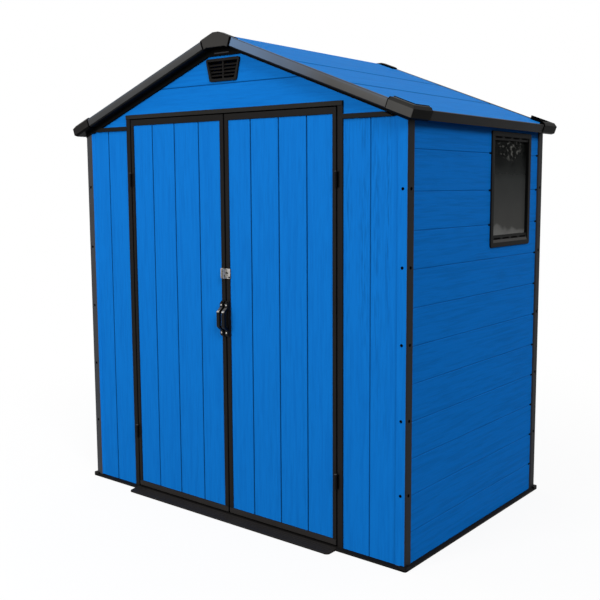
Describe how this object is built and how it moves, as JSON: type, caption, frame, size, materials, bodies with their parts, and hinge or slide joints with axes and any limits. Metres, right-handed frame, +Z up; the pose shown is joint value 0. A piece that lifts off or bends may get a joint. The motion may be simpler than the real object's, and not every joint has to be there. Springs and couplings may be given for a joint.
{
  "type": "plastic garden shed",
  "caption": "Plastic garden shed with an apex roof, outward-opening doors in the gable front, a side window, louvred gable vents, a floor panel and a low door ramp.",
  "frame": {"origin": "on the ground under the middle of the floor panel", "axes": "+Z up, -Y out of the doors, +X to the right of someone facing the doors"},
  "size_m": [1.9524, 1.251, 2.0875],
  "materials": {
    "board_blue": "embossed wood grain",
    "roof_blue": "embossed wood grain",
    "trim_black": "fine matt texture",
    "floor_grey": "matt",
    "zinc_plate": "zinc plated",
    "beam_steel": "galvanised",
    "glazing": "clear sheet"
  },
  "bodies": {
    "shed": {"back_base_rail": "trim_black", "back_gable": "board_blue", "back_wall": "board_blue", "back_wall_cap": "trim_black", "bargeboards": "trim_black", "corner_posts": "trim_black", "door_head": "trim_black", "door_jambs": "trim_black", "door_ramp": "trim_black", "eave_corner_caps": "trim_black", "eave_fascias": "trim_black", "floor_panel": "floor_grey", "front_base_rail": "trim_black", "front_gable": "board_blue", "front_gable_fillers": "board_blue", "front_left_wall": "board_blue", "front_right_wall": "board_blue", "front_wall_caps": "trim_black", "gable_vents": "trim_black", "jamb_hinges": "trim_black", "left_base_rail": "trim_black", "left_gable_channels": "trim_black", "left_roof_panel": "roof_blue", "left_wall": "board_blue", "ridge_beam": "beam_steel", "ridge_caps": "trim_black", "right_base_rail": "trim_black", "right_gable_channels": "trim_black", "right_roof_panel": "roof_blue", "right_wall_front": "board_blue", "right_wall_lower": "board_blue", "right_wall_rear": "board_blue", "right_wall_upper": "board_blue", "window_frame": "trim_black", "window_pane": "glazing"},
    "left_door": {"left_door_boards": "board_blue", "left_door_frame": "trim_black", "left_door_handle": "trim_black", "left_door_hinges": "trim_black", "left_hasp_plate": "zinc_plate"},
    "right_door": {"right_door_boards": "board_blue", "right_door_frame": "trim_black", "right_door_handle": "trim_black", "right_door_hinges": "trim_black", "right_hasp_plate": "zinc_plate"}
  },
  "joints": [
    {"name": "right_door_hinge", "type": "hinge", "parent": "shed", "child": "right_door", "pos_m": [0.5995, -0.5795, 0.8838], "axis": [0, 0, 1], "range_deg": [0, 110]},
    {"name": "left_door_hinge", "type": "hinge", "parent": "shed", "child": "left_door", "pos_m": [-0.5995, -0.5795, 0.8838], "axis": [0, 0, -1], "range_deg": [0, 110]}
  ]
}
